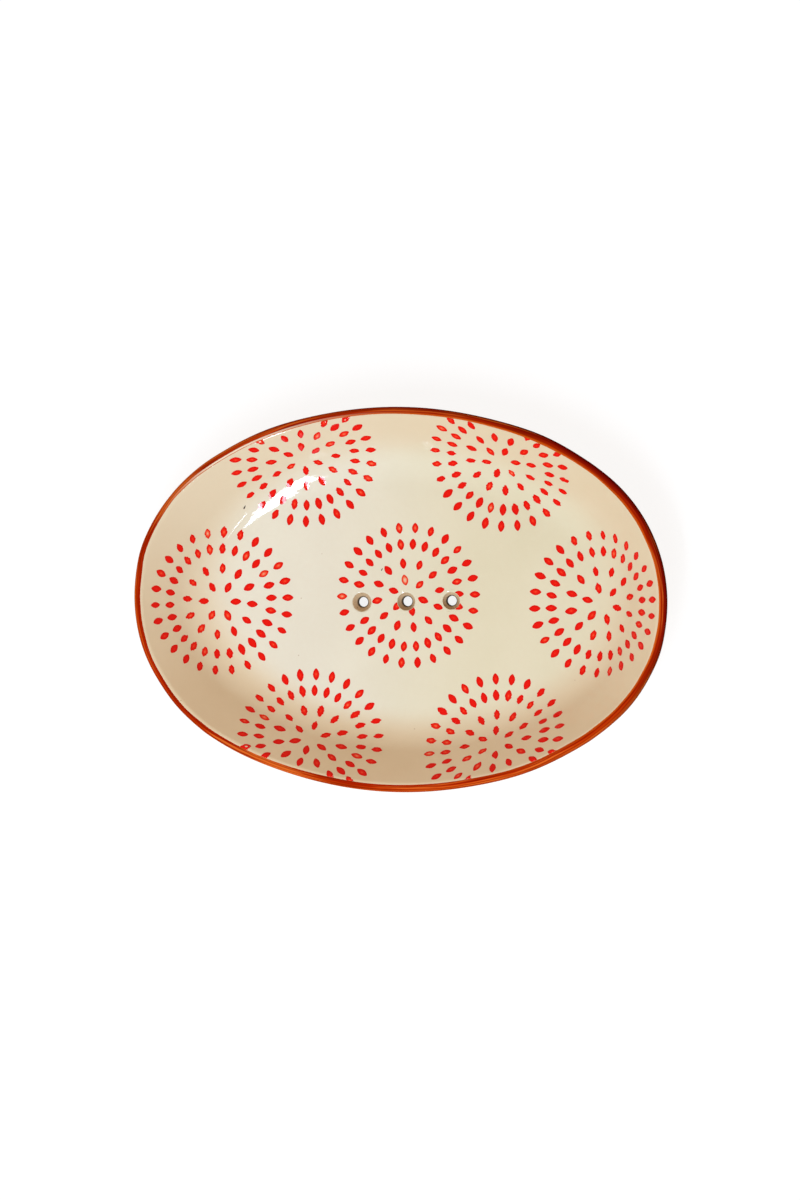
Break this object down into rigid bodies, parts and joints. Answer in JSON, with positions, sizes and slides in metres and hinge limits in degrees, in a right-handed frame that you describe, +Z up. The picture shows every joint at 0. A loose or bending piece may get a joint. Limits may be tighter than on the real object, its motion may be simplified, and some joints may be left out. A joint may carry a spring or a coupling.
{
  "type": "soap dish",
  "caption": "Oval glazed stoneware soap dish with sloping walls, a rounded hand-brushed rim, drain holes through its flat floor and an unglazed foot ring that it stands on.",
  "frame": {"origin": "middle of the dish on the plane that the foot ring stands on", "axes": "+X along the dish's length, +Y along its width, +Z up out of the well"},
  "size_m": [0.148, 0.105, 0.0205],
  "materials": {
    "bisque": "matt, bare fired stoneware",
    "cream_glaze": "gloss glaze over a cream slip",
    "iron_brown": "gloss, brushed iron oxide",
    "petal_red": "gloss, red dabs painted on the glaze"
  },
  "bodies": {
    "root": {"dish_body": "bisque", "foot_ring": "bisque", "inner_glaze": "cream_glaze", "outer_glaze": "cream_glaze", "base_glaze": "cream_glaze", "rim_band": "iron_brown"}
  },
  "joints": []
}
